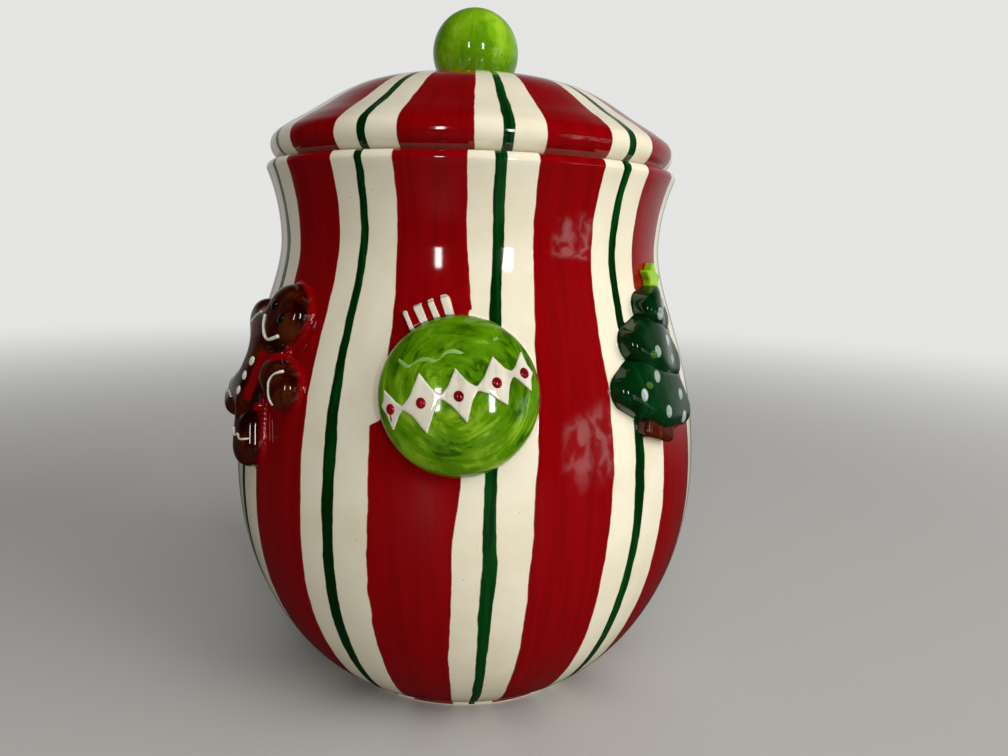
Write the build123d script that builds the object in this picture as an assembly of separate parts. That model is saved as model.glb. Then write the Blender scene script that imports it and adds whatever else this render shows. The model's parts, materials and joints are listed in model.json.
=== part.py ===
"""Ceramic biscuit jar: a footed, full-bellied body with raised festive figures on its
shoulder, and a domed lid with a hollow ball knob, a locating flange and a seal ring.

Millimetres. The origin is the middle of the foot on the table, +Z is up and -Y is the front.
Azimuth is measured round the jar from the front, positive to the right."""
import math
import os

from build123d import *

# Body
BODY_H = 231.0            # table to the flat land of the rim
FOOT_R = 60.6             # foot, where it meets the table
FOOT_EDGE = 1.5           # upright edge of the foot
FOOT_RIM = 9.0            # width of the standing ring
FOOT_HOLLOW = 2.5         # depth of the hollow inside the standing ring
BELLY_R = 106.6           # widest radius
BELLY_Z = 97.0            # height of the widest radius
NECK_R = 85.5             # narrowest radius above the belly
NECK_Z = 199.0
RIM_R = 90.9              # flared rim
RIM_ROUND = 3.2           # outer rounding of the rim land
MOUTH_ROUND = 1.6         # inner rounding of the rim land
WALL = 6.5                # wall from the belly to the neck
FLOOR = 9.0               # top of the floor above the table
FLOOR_CORNER = 5.0        # floor's edge, in from the foot's outline
FOOT_PULL = (19.4, 10.5)  # curve handle that leaves the foot, outward and up
BOWL_PULL = 50.0          # curve handle below the belly
SHOULDER_PULL = 52.0      # curve handle above the belly
NECK_PULL = 22.0          # curve handle below the neck

# Lid
LID_GAP = 0.3             # air between the rim land and the lid's seat
LID_SETBACK = 1.8         # rolled edge, in from the rim
ROLL_RISE = 6.7           # seat to the widest radius
ROLL_UNDER = 4.0          # seat's outer edge, in from the widest radius
ROLL_TOP = (4.9, 13.2)    # end of the roll: in from the widest radius, up from the seat
COVE = (12.5, 18.0)       # foot of the dome, measured the same way
DOME_H = 38.2             # seat to the flat pad under the knob
DOME_MID = (33.5, 31.0)   # point on the dome, measured as the roll is
LID_WALL = 5.5
VENT_R = 5.0              # hole under the hollow knob
FLANGE_CLEARANCE = 3.0    # locating flange to mouth
FLANGE_DEPTH = 14.0       # seat to the flange's lower edge
FLANGE_WALL = 6.0
FLANGE_ROUND = 1.8        # lower edges of the flange

# Knob
KNOB_R = 19.0             # ball
KNOB_RISE = 12.5          # pad to the ball's middle
KNOB_WALL = 5.0
PAD_MARGIN = 0.6          # pad's edge, out from the knob's seat

# Seal ring
SEAL_CLEARANCE = 0.3      # ring to mouth, and ring to groove
GROOVE_DEPTH = 2.2
GROOVE_W = 6.0
GROOVE_DROP = 4.0         # seat to the groove's top
FIN_T = 1.2               # thickness of one fin
FIN_ROOT = 1.2            # how far the ring's back stands out of the groove

# Raised figures: azimuth of the middle, height of the middle and lean to the right
BAUBLE = (-2.0, 146.5, -20.0)
TREE = (46.5, 155.0, 17.0)
GINGERBREAD = (-53.0, 148.0, 24.2)
REACH_MARGIN = 33.0       # cutting prisms end this far outside the belly

# Bauble
BALL_R = 28.6
BALL_H = 12.0             # stands out of the wall
BALL_SKIRT = 8.0          # straight side below the dome, buried in the wall at the middle
ROUND_HANDLE = 0.5523     # handle that makes a curve a quarter round
CAP_W = 17.5
CAP_ASIDE = -1.6          # cap's middle, to the side of the ball's
CAP_NEAR = 25.4           # cap, from the ball's middle
CAP_FAR = 33.8
CAP_OUT = 2.8
CAP_CORNER = 1.6          # corners of the cap's outline
CAP_ROUND = 0.9           # outer edge of the cap
RIB_COUNT = 4
RIB_W = 2.4
RIB_PITCH = 4.1
RIB_SHORT = 2.0           # ribs are this much shorter than the cap
RIB_PROUD = 0.9
DIAMOND_W = 14.2
DIAMOND_H = 18.5
DIAMOND_TURN = -9.0       # turn of each diamond, from the ball's upright
DIAMOND_COUNT = 5
DIAMOND_PITCH = 12.0      # less than a diamond's width, so that neighbours join
NECK_ROUND = 0.9          # inner corners between neighbours
DIAMOND_PROUD = 0.9
BAND_AT = (1.0, 2.4)      # middle of the band of diamonds, from the ball's middle
BAND_LEAN = 16.0          # band, up to the right of level
DOT_R = 1.9
DOT_PROUD = 0.5

# Tree: each tier's round corners (left end, right end, others), stand-out and edge rounding
LOWER_TIER = [((-15.0, -14.5), 7.0), ((21.0, -14.5), 7.0), ((3.0, -17.3), 8.0), ((2.0, 1.0), 10.0)]
MIDDLE_TIER = [((-12.3, 4.2), 6.4), ((18.5, 4.2), 6.4), ((3.0, 8.0), 12.0), ((3.0, 15.0), 8.0)]
UPPER_TIER = [((-4.2, 20.4), 6.0), ((10.6, 20.4), 6.0), ((3.6, 25.0), 6.2)]
LOWER_OUT = 7.0
MIDDLE_OUT = 8.2
UPPER_OUT = 9.4
TIER_SLOPE = 5.0          # a tier's face leans in towards its crown, in degrees
LOWER_ROUND = 4.6
MIDDLE_ROUND = 4.0
UPPER_ROUND = 3.5
TRUNK_AT = 2.5            # trunk's middle, to the side of the tree's
TRUNK_W = 19.0
TRUNK_END = -29.8
TRUNK_TOP = -18.0
TRUNK_OUT = 5.6
TRUNK_CORNER = 2.6
TRUNK_ROUND = 2.4         # outer edge of the trunk
STAR_AT = (3.2, 34.0)
STAR_R = 7.6
STAR_WAIST_R = 3.9
STAR_OUT = 4.0
STAR_CORNER = 0.9         # corners of the star's outline
STAR_ROUND = 0.8          # outer edge of the star
STAR_POINTS = 5
STAR_LEAN = 6.0
LOWER_SNOW = [(-13.4, -14.5), (-5.0, -6.4), (1.3, -17.6), (13.0, -10.2), (17.0, -17.8)]
MIDDLE_SNOW = [(-7.3, 3.6), (4.6, 9.6), (9.3, 3.9)]
UPPER_SNOW = [(-4.3, 18.6), (2.6, 24.0)]
SNOW_R = 3.0              # ball that each snow spot is the cap of
SNOW_RISE = 1.2           # how far the cap stands out

# Gingerbread figure: middle and radius of each round end
HEAD = ((-0.8, 22.8), 12.2)
CHEST = ((-2.5, 7.0), 9.0)
HIPS = ((-3.5, -10.0), 9.0)
LEFT_HAND = ((-19.0, 12.0), 7.6)
RIGHT_HAND = ((18.8, 3.0), 8.4)
LEFT_SHOULDER = ((-6.0, 7.0), 6.5)
RIGHT_SHOULDER = ((3.0, 5.0), 6.5)
LEFT_FOOT = ((-15.5, -24.0), 8.0)
RIGHT_FOOT = ((12.0, -27.5), 8.8)
LEFT_HIP = ((-6.5, -10.0), 7.0)
RIGHT_HIP = ((1.0, -11.0), 7.0)
CROTCH_ROUND = 3.0        # rounding of the inner corners of the outline
FIGURE_OUT = 8.0
FIGURE_ROUND = 5.6
EYES = [(-4.6, 26.0), (4.2, 25.0)]
EYE_R = 2.6
EYE_RISE = 0.9
BUTTONS = [(-1.2, 3.2), (-1.9, -3.8), (-2.2, -10.8)]
BUTTON_R = 2.8
BUTTON_RISE = 1.2
ICING_W = 1.5
ICING_PROUD = 0.8
ICING_INSET = 1.6         # icing stops this far inside the outline
SMILE = [(-7.6, 20.3), (-5.4, 17.4), (-2.4, 15.8), (1.2, 15.0), (4.0, 15.8), (7.2, 19.2)]
LEFT_CUFF = [(-13.5, 20.0), (-16.0, 13.5), (-15.5, 4.0)]
RIGHT_CUFF = [(18.5, 12.5), (15.6, 8.0), (16.8, 3.0), (21.5, -5.5)]
LEFT_HEM = [(-23.5, -19.0), (-17.5, -17.5), (-12.5, -20.5), (-6.5, -17.5)]
RIGHT_HEM = [(2.0, -24.5), (6.5, -23.5), (9.5, -25.5), (21.0, -19.5)]

LID_R = RIM_R - LID_SETBACK
REACH = BELLY_R + REACH_MARGIN
RIM_Z = BODY_H - RIM_ROUND
MOUTH_R = NECK_R - WALL
FLANGE_R = MOUTH_R - FLANGE_CLEARANCE
SEAT_Z = BODY_H + LID_GAP
PAD_Z = SEAT_Z + DOME_H
KNOB_Z = PAD_Z + KNOB_RISE
KNOB_SEAT_R = math.sqrt(KNOB_R**2 - KNOB_RISE**2)
PAD_R = KNOB_SEAT_R + PAD_MARGIN
GROOVE_R = FLANGE_R - GROOVE_DEPTH
GROOVE_TOP = SEAT_Z - GROOVE_DROP


# ---- curves of the body ----
def bowl(radius_foot, height_foot, grow):
    """From the foot up to the belly."""
    belly = BELLY_R + grow
    leave = (radius_foot + FOOT_PULL[0], height_foot + FOOT_PULL[1])
    return Bezier((radius_foot, height_foot), leave, (belly, BELLY_Z - BOWL_PULL), (belly, BELLY_Z))


def shoulder(grow):
    """From the belly up to the neck, every radius grown by the same amount."""
    belly = BELLY_R + grow
    neck = NECK_R + grow
    above = (belly, BELLY_Z + SHOULDER_PULL)
    below = (neck, NECK_Z - NECK_PULL)
    return Bezier((belly, BELLY_Z), above, below, (neck, NECK_Z))


def flare(grow):
    """From the neck up to the side of the rim."""
    return TangentArc((NECK_R + grow, NECK_Z), (RIM_R + grow, RIM_Z), tangent=(0, 1))


def spun(*curves):
    """Solid turned about the jar's axis from a closed outline of radius and height."""
    section = Plane.XZ * make_face(Curve() + list(curves))
    return revolve(section, axis=Axis.Z)


def wall_radius(height):
    """Outer radius of the shoulder at a height, found by halving its curve."""
    curve = shoulder(0)
    low, high = 0.0, 1.0
    for _ in range(40):
        middle = (low + high) / 2
        if (curve @ middle).Y < height:
            low = middle
        else:
            high = middle
    return (curve @ low).X


def wall_lean(height):
    """Angle by which the wall's normal points up from level, in degrees."""
    step = 1.0
    fall = wall_radius(height - step) - wall_radius(height + step)
    return math.degrees(math.atan2(fall, 2 * step))


# ---- body ----
def make_body():
    """Hollow body, turned from one outline: foot ring, outside, rim land, mouth and inside."""
    lip = JernArc((RIM_R, RIM_Z), (0, 1), RIM_ROUND, 90)
    land_in = MOUTH_R + MOUTH_ROUND
    mouth = RadiusArc((land_in, BODY_H), (MOUTH_R, BODY_H - MOUTH_ROUND), -MOUTH_ROUND)
    inner_floor = FOOT_R - FLOOR_CORNER
    hollow_r = FOOT_R - FOOT_RIM
    return spun(
        Line((hollow_r, 0), (FOOT_R, 0)),
        Line((FOOT_R, 0), (FOOT_R, FOOT_EDGE)),
        bowl(FOOT_R, FOOT_EDGE, 0),
        shoulder(0),
        flare(0),
        lip,
        Line(lip @ 1, (land_in, BODY_H)),
        mouth,
        Line((MOUTH_R, BODY_H - MOUTH_ROUND), (MOUTH_R, NECK_Z)),
        shoulder(-WALL),
        bowl(inner_floor, FLOOR, -WALL),
        Line((inner_floor, FLOOR), (0, FLOOR)),
        Line((0, FLOOR), (0, FOOT_HOLLOW)),
        Line((0, FOOT_HOLLOW), (hollow_r - FOOT_HOLLOW, FOOT_HOLLOW)),
        Line((hollow_r - FOOT_HOLLOW, FOOT_HOLLOW), (hollow_r, 0)))


def filled_wall(grow):
    """The belly, shoulder and neck as one solid mass, for cutting the figures to the wall."""
    top = (RIM_R + grow, RIM_Z)
    return spun(
        Line((0, 0), (BELLY_R + grow, 0)),
        Line((BELLY_R + grow, 0), (BELLY_R + grow, BELLY_Z)),
        shoulder(grow),
        flare(grow),
        Line(top, (0, RIM_Z)),
        Line((0, RIM_Z), (0, 0)))


# ---- lid, knob and seal ----
def lid_point(inward_up, thickness=0.0):
    """Point on the lid from its distance in from the widest radius and up from the seat."""
    return (LID_R - inward_up[0] - thickness, SEAT_Z + inward_up[1] - thickness)


def dome(thickness):
    """The lid's dome from the roll to the pad, or its underside when given a thickness."""
    start = lid_point(ROLL_TOP, thickness)
    end = (PAD_R, PAD_Z - thickness)
    through = [start, lid_point(COVE, thickness), lid_point(DOME_MID, thickness), end]
    return Spline(*through, tangents=[(-1.0, 0.72), (-1.0, 0.06)])


def make_lid():
    """Domed lid with a rolled edge, a vent under the knob, and a flange with a groove."""
    seat_out = (LID_R - ROLL_UNDER, SEAT_Z)
    widest = (LID_R, SEAT_Z + ROLL_RISE)
    roll = Spline(seat_out, widest, lid_point(ROLL_TOP), tangents=[(0.9, 0.45), (-1.0, 0.72)])
    flange_low = SEAT_Z - FLANGE_DEPTH
    flange_in = FLANGE_R - FLANGE_WALL
    groove_low = GROOVE_TOP - GROOVE_W
    under = dome(LID_WALL)
    return spun(
        Line((FLANGE_R, SEAT_Z), seat_out),
        roll,
        dome(0),
        Line((PAD_R, PAD_Z), (VENT_R, PAD_Z)),
        Line((VENT_R, PAD_Z), (VENT_R, PAD_Z - LID_WALL)),
        Line((VENT_R, PAD_Z - LID_WALL), (PAD_R, PAD_Z - LID_WALL)),
        under,
        Line(under @ 0, (flange_in, SEAT_Z)),
        Line((flange_in, SEAT_Z), (flange_in, flange_low + FLANGE_ROUND)),
        JernArc((flange_in, flange_low + FLANGE_ROUND), (0, -1), FLANGE_ROUND, 90),
        Line((flange_in + FLANGE_ROUND, flange_low), (FLANGE_R - FLANGE_ROUND, flange_low)),
        JernArc((FLANGE_R - FLANGE_ROUND, flange_low), (1, 0), FLANGE_ROUND, 90),
        Line((FLANGE_R, flange_low + FLANGE_ROUND), (FLANGE_R, groove_low)),
        Line((FLANGE_R, groove_low), (GROOVE_R, groove_low)),
        Line((GROOVE_R, groove_low), (GROOVE_R, GROOVE_TOP)),
        Line((GROOVE_R, GROOVE_TOP), (FLANGE_R, GROOVE_TOP)),
        Line((FLANGE_R, GROOVE_TOP), (FLANGE_R, SEAT_Z)))


def make_knob():
    """Hollow ball, cut flat where it sits on the lid's pad."""
    ball = Sphere(KNOB_R) - Sphere(KNOB_R - KNOB_WALL)
    side = 2 * (KNOB_R + KNOB_RISE)
    above_pad = Box(side, side, side, align=(Align.CENTER, Align.CENTER, Align.MIN))
    return (Pos(0, 0, KNOB_Z) * ball) & (Pos(0, 0, PAD_Z) * above_pad)


def make_seal():
    """Ring with a back that sits in the flange's groove and two fins that meet the mouth."""
    back_in = GROOVE_R + SEAL_CLEARANCE
    back_out = FLANGE_R + FIN_ROOT
    tip = MOUTH_R - SEAL_CLEARANCE
    top = GROOVE_TOP - SEAL_CLEARANCE
    low = GROOVE_TOP - GROOVE_W + SEAL_CLEARANCE
    corners = [
        (back_in, low), (tip, low), (tip, low + FIN_T), (back_out, low + FIN_T),
        (back_out, top - FIN_T), (tip, top - FIN_T), (tip, top), (back_in, top)]
    return spun(Polyline(*corners, close=True))


# ---- raised figures ----
def facing(place):
    """Plane through the jar's axis that looks out at a figure, x to the right and y up."""
    azimuth, height, lean = place
    turn = math.radians(azimuth)
    right = (math.cos(turn), math.sin(turn), 0)
    outward = (math.sin(turn), -math.cos(turn), 0)
    upright = Plane(origin=(0, 0, height), x_dir=right, z_dir=outward)
    return Plane(upright.location * Rot(0, 0, -lean))


def pressed(place, outline, mass, edge_round, wall):
    """Figure with an outline, cut to an outer mass, with its outer edge rounded."""
    plane = facing(place)
    block = extrude(plane * outline, amount=REACH) & mass
    outer_face = block.faces().sort_by(lambda face: plane.to_local_coords(face.center()).Z)[-1]
    return fillet(outer_face.edges(), edge_round) - wall


def softened(outline, radius):
    """Outline with its inner corners rounded."""
    return offset(offset(outline, radius), -radius)


def limb(first, second):
    """Outline of two discs and the stretch between them."""
    discs = [Pos(*middle) * Circle(radius) for middle, radius in (first, second)]
    return make_hull(discs[0].edges() + discs[1].edges())


def on_wall(place, spot, out):
    """Point that stands a distance out of the wall, at a spot given in a figure's own plane."""
    plane = facing(place)
    flat = plane.from_local_coords(Vector(spot[0], spot[1], 0))
    outward = plane.z_dir
    radius = wall_radius(flat.Z) + out
    across = math.hypot(flat.X, flat.Y)
    return flat + outward * math.sqrt(radius**2 - across**2)


def caps(place, spots, radius, rise, out, under):
    """Low round caps on a figure, one at each spot."""
    balls = [Pos(*on_wall(place, spot, out + rise - radius)) * Sphere(radius) for spot in spots]
    return [ball - under for ball in balls]


def ball_of(grow):
    """The bauble's dome about the wall's normal, with every size grown by the same amount."""
    azimuth, height, lean = BAUBLE
    turn = math.radians(azimuth)
    tip = math.radians(wall_lean(height))
    outward = (math.sin(turn) * math.cos(tip), -math.cos(turn) * math.cos(tip), math.sin(tip))
    right = (math.cos(turn), math.sin(turn), 0)
    radius = wall_radius(height)
    middle = (radius * math.sin(turn), -radius * math.cos(turn), height)
    upright = Plane(origin=middle, x_dir=right, z_dir=outward)
    plane = Plane(upright.location * Rot(0, 0, -lean))
    edge = (BALL_R + grow, 0)
    crown = (0, BALL_H + grow)
    above = (BALL_R + grow, ROUND_HANDLE * (BALL_H + grow))
    beside = (ROUND_HANDLE * (BALL_R + grow), BALL_H + grow)
    section = make_face(Curve() + [
        Bezier(edge, above, beside, crown),
        Line((0, BALL_H + grow), (0, -BALL_SKIRT)),
        Line((0, -BALL_SKIRT), (BALL_R + grow, -BALL_SKIRT)),
        Line((BALL_R + grow, -BALL_SKIRT), (BALL_R + grow, 0))])
    turned = revolve(Plane.XZ * section, axis=Axis.Z)
    return plane, plane.location * turned


def diamond_band(plane, dome_mass, wall):
    """Band of joined diamonds raised across the ball, with a raised dot on each."""
    _, grown = ball_of(DIAMOND_PROUD)
    _, grown_more = ball_of(DIAMOND_PROUD + DOT_PROUD)
    slope = math.tan(math.radians(BAND_LEAN + BAUBLE[2]))
    half_w, half_h = DIAMOND_W / 2, DIAMOND_H / 2
    corners = [(half_w, 0), (0, half_h), (-half_w, 0), (0, -half_h)]
    diamond = Rot(0, 0, DIAMOND_TURN) * make_face(Polyline(*corners, close=True))
    band = Sketch()
    dots = []
    for index in range(DIAMOND_COUNT):
        across = (index - (DIAMOND_COUNT - 1) / 2) * DIAMOND_PITCH
        spot = (BAND_AT[0] + across, BAND_AT[1] + across * slope)
        band += Pos(*spot) * diamond
        disc = Pos(*spot) * Circle(DOT_R)
        dots.append((extrude(plane * disc, amount=REACH) & grown_more) - grown - wall)
    band = softened(band, NECK_ROUND)
    diamonds = (extrude(plane * band, amount=REACH) & grown) - dome_mass - wall
    return diamonds, dots


def make_bauble(wall):
    """Round bauble under a ribbed cap."""
    plane, dome_mass = ball_of(0)
    ball = dome_mass - wall
    diamonds, dots = diamond_band(plane, dome_mass, wall)
    middle = (CAP_NEAR + CAP_FAR) / 2
    cap_outline = Pos(CAP_ASIDE, middle) * RectangleRounded(CAP_W, CAP_FAR - CAP_NEAR, CAP_CORNER)
    cap = pressed(BAUBLE, cap_outline, filled_wall(CAP_OUT), CAP_ROUND, wall) - dome_mass
    rib_mass = filled_wall(CAP_OUT + RIB_PROUD)
    ribs = []
    for index in range(RIB_COUNT):
        across = CAP_ASIDE + (index - (RIB_COUNT - 1) / 2) * RIB_PITCH
        rib = Pos(across, middle) * SlotOverall(CAP_FAR - CAP_NEAR - RIB_SHORT, RIB_W, rotation=90)
        raised = extrude(facing(BAUBLE) * rib, amount=REACH) & rib_mass
        ribs.append(raised - wall - cap - dome_mass)
    return {"ball": ball, "diamonds": diamonds, "dots": dots, "cap": cap, "cap_ribs": ribs}


def tier_mass(tier, out):
    """Wall mass grown by a tier's stand-out, then leaned in about the tier's hem."""
    hem = on_wall(TREE, tier[0][0], out)
    return filled_wall(out).rotate(Axis(hem, facing(TREE).x_dir), -TIER_SLOPE)


def tier_outline(tier):
    """Skirt of a tree tier, drawn tightly round its round corners."""
    discs = [Pos(*middle) * Circle(radius) for middle, radius in tier]
    discs[1] = Pos(*tier[1][0]) * Rot(0, 0, 180) * Circle(tier[1][1])
    return make_hull([edge for disc in discs for edge in disc.edges()])


def star_outline():
    """Star with rounded points and waists."""
    corners = []
    for index in range(2 * STAR_POINTS):
        radius = STAR_WAIST_R if index % 2 else STAR_R
        turn = math.radians(90 + 180 / STAR_POINTS * index)
        corners.append((radius * math.cos(turn), radius * math.sin(turn)))
    star = make_face(Polyline(*corners, close=True))
    star = fillet(star.vertices(), STAR_CORNER)
    return Pos(*STAR_AT) * Rot(0, 0, STAR_LEAN) * star


def make_tree(wall):
    """Tree of three skirts that lap over each other, with a trunk, a star and snow."""
    tiers = [
        (LOWER_TIER, LOWER_OUT, LOWER_ROUND),
        (MIDDLE_TIER, MIDDLE_OUT, MIDDLE_ROUND),
        (UPPER_TIER, UPPER_OUT, UPPER_ROUND)]
    lower, middle, upper = [
        pressed(TREE, tier_outline(tier), tier_mass(tier, out), edge_round, wall)
        for tier, out, edge_round in tiers]
    middle = middle - upper
    lower = lower - upper - middle
    skirts = lower + middle + upper
    trunk_h = TRUNK_TOP - TRUNK_END
    trunk_mid = (TRUNK_TOP + TRUNK_END) / 2
    trunk_outline = Pos(TRUNK_AT, trunk_mid) * RectangleRounded(TRUNK_W, trunk_h, TRUNK_CORNER)
    trunk = pressed(TREE, trunk_outline, filled_wall(TRUNK_OUT), TRUNK_ROUND, wall) - lower
    star = pressed(TREE, star_outline(), filled_wall(STAR_OUT), STAR_ROUND, wall) - upper
    snow = []
    fall = math.tan(math.radians(TIER_SLOPE))
    for spots, (tier, out, _) in zip((LOWER_SNOW, MIDDLE_SNOW, UPPER_SNOW), tiers):
        for spot in spots:
            above_hem = spot[1] - tier[0][0][1]
            snow += caps(TREE, [spot], SNOW_R, SNOW_RISE, out - above_hem * fall, skirts + wall)
    return {"star": star, "upper_tier": upper, "middle_tier": middle, "lower_tier": lower,
            "trunk": trunk, "snow": snow}


def figure_outline(inset):
    """Gingerbread figure: round head, hands and feet, joined by limbs with straight sides.
    An inset draws the same outline that distance further in."""
    outline = Sketch() + Pos(*HEAD[0]) * Circle(HEAD[1] - inset)
    for pair in ((CHEST, HIPS), (LEFT_SHOULDER, LEFT_HAND), (RIGHT_SHOULDER, RIGHT_HAND),
                 (LEFT_HIP, LEFT_FOOT), (RIGHT_HIP, RIGHT_FOOT)):
        outline += limb(*[(middle, radius - inset) for middle, radius in pair])
    return outline


def make_gingerbread(wall):
    """Puffed gingerbread figure with piped icing, two eyes and three buttons."""
    outline = softened(figure_outline(0), CROTCH_ROUND)
    figure = pressed(GINGERBREAD, outline, filled_wall(FIGURE_OUT), FIGURE_ROUND, wall)
    inside = figure_outline(ICING_INSET)
    iced = filled_wall(FIGURE_OUT + ICING_PROUD)
    icing = []
    for route in (SMILE, LEFT_CUFF, RIGHT_CUFF, LEFT_HEM, RIGHT_HEM):
        stroke = Sketch()
        for start, end in zip(route, route[1:]):
            stroke += limb((start, ICING_W / 2), (end, ICING_W / 2))
        stroke = stroke & inside
        icing.append((extrude(facing(GINGERBREAD) * stroke, amount=REACH) & iced) - figure - wall)
    eyes = caps(GINGERBREAD, EYES, EYE_R, EYE_RISE, FIGURE_OUT, figure + wall)
    buttons = caps(GINGERBREAD, BUTTONS, BUTTON_R, BUTTON_RISE, FIGURE_OUT, figure + wall)
    return {"figure": figure, "icing": icing, "eyes": eyes, "buttons": buttons}


def save(name, shape):
    """Write one node; a list of pieces becomes one group of separate solids."""
    if isinstance(shape, list):
        shape = Compound(children=[solid for piece in shape for solid in piece.solids()])
    export_step(shape, os.path.join("parts", name + ".step"))


def half_turn(shape):
    """The same pieces on the other side of the jar."""
    if isinstance(shape, list):
        return [half_turn(piece) for piece in shape]
    return Rot(0, 0, 180) * shape


if __name__ == "__main__":
    os.makedirs("parts", exist_ok=True)
    wall_mass = filled_wall(0)
    save("jar_body", make_body())
    save("lid_shell", make_lid())
    save("knob", make_knob())
    save("lid_seal", make_seal())
    figures = {
        "bauble": make_bauble(wall_mass),
        "tree": make_tree(wall_mass),
        "gingerbread": make_gingerbread(wall_mass)}
    for figure_name, pieces in figures.items():
        for piece_name, piece in pieces.items():
            save("front_" + figure_name + "_" + piece_name, piece)
            save("back_" + figure_name + "_" + piece_name, half_turn(piece))
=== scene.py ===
"""Looks of a ceramic biscuit jar: glazed body and lid with hand-painted stripes, a brushed ball
knob, and raised festive figures with soft glazed edges.

Metres. The origin is under the middle of the foot, +Z is up and -Y is the front. Outlines of
turned pieces and spots on the figures are written in millimetres."""
import json
import math

import bpy
import numpy as np
from mathutils import Matrix, Vector

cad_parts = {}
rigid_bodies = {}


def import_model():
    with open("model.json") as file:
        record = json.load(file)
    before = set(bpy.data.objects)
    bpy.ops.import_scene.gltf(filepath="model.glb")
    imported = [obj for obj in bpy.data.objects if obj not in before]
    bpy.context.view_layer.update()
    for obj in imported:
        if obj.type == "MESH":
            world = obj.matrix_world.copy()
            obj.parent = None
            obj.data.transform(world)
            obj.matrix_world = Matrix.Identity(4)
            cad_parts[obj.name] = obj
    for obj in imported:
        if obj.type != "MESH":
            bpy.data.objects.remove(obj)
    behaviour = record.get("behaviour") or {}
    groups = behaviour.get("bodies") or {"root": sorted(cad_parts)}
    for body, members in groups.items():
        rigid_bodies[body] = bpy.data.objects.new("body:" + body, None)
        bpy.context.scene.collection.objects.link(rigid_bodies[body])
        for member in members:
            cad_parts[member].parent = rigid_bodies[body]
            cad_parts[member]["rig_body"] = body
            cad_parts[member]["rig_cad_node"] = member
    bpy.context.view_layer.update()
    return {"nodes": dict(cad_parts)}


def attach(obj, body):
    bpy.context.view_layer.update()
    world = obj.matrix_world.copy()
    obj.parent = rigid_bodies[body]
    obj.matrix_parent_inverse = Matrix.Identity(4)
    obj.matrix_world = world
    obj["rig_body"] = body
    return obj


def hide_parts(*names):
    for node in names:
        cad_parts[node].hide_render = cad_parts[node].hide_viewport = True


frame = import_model()

MM = 0.001
TURN_STEPS = 288          # facets round a turned piece
MERGE = 1e-6              # points closer than this, in metres, are one
SMOOTH_BELOW = math.radians(40)   # edges that bend less than this are shaded smooth
SOFTENING = 0.5           # share of the way that one round of smoothing moves a point
OUTSIDE = 0.16            # metres from the jar's axis, clear of every raised piece
SINK = 0.15               # a raised piece's bed lies this far below the wall's surface

# Raised figures: azimuth from the front, height of the middle, lean to the right
BAUBLE = (-2.0, 146.5, -20.0)
TREE = (46.5, 155.0, 17.0)
GINGERBREAD = (-53.0, 148.0, 24.2)

SEAT_Z = 231.3            # underside of the lid's edge
PAD_Z = 269.5             # flat top of the lid, under the knob
VENT_R = 5.0              # hole in the lid under the knob
KNOB_Z = 282.0
KNOB_R = 19.0
KNOB_INSIDE = 14.0
BALL_MIDDLE = (-3.6, 150.0)   # bauble's middle, to the right of and above the origin


# ---- selecting and starting pieces ----
def deselect():
    """Leave edit mode and select nothing."""
    if bpy.context.object and bpy.context.object.mode != "OBJECT":
        bpy.ops.object.mode_set(mode="OBJECT")
    bpy.ops.object.select_all(action="DESELECT")


def pick(piece):
    """Select one piece and make it the active one."""
    deselect()
    piece.select_set(True)
    bpy.context.view_layer.objects.active = piece


def edit_all(piece):
    """Go into edit mode with everything selected."""
    pick(piece)
    bpy.ops.object.mode_set(mode="EDIT")
    bpy.ops.mesh.select_all(action="SELECT")


def finish_with(piece, kind, **settings):
    """Add one modifier and apply it."""
    pick(piece)
    modifier = piece.modifiers.new(kind.title(), kind)
    for setting, value in settings.items():
        setattr(modifier, setting, value)
    bpy.ops.object.modifier_apply(modifier=modifier.name)


def settle_place(piece):
    """Move a piece's place into its mesh."""
    pick(piece)
    bpy.ops.object.transform_apply(location=True, rotation=True, scale=True)


# ---- outlines, as (radius, height) in millimetres ----
def swept(start, leave, arrive, end, steps=24):
    """Points along a curve drawn by two handles, with both ends."""
    points = []
    for index in range(steps + 1):
        t = index / steps
        shares = ((1 - t)**3, 3 * t * (1 - t)**2, 3 * t * t * (1 - t), t**3)
        corners = (start, leave, arrive, end)
        points.append(tuple(sum(s * c[axis] for s, c in zip(shares, corners)) for axis in (0, 1)))
    return points


def rounded(middle, radius, begin, end, steps=8):
    """Points along an arc, from one angle to another in degrees."""
    points = []
    for index in range(steps + 1):
        angle = math.radians(begin + (end - begin) * index / steps)
        points.append((middle[0] + radius * math.cos(angle), middle[1] + radius * math.sin(angle)))
    return points


BOWL = swept((60.6, 2.2), (80.0, 12.0), (106.6, 47.0), (106.6, 97.0), 32)
SHOULDER = swept((106.6, 97.0), (106.6, 149.0), (85.5, 177.0), (85.5, 199.0), 40)
FLARE = rounded((164.98, 199.0), 79.48, 180.0, 158.8, 14)
WALL = BOWL[:-1] + SHOULDER[:-1] + FLARE
WALL_R = np.array([point[0] for point in WALL])
WALL_Z = np.array([point[1] for point in WALL])


def wall_radius(height):
    """Outer radius of the body at a height."""
    return np.interp(height, WALL_Z, WALL_R)


# ---- places on a figure ----
def facing(place):
    """Plane through the jar's axis that looks out at a figure: x right, y up, z outward."""
    azimuth, height, lean = place
    turn = math.radians(azimuth)
    right = Vector((math.cos(turn), math.sin(turn), 0))
    outward = Vector((math.sin(turn), -math.cos(turn), 0))
    upright = Matrix((right, Vector((0, 0, 1)), outward)).transposed()
    leaned = upright @ Matrix.Rotation(math.radians(-lean), 3, "Z")
    return Matrix.Translation((0, 0, height * MM)) @ leaned.to_4x4()


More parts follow.
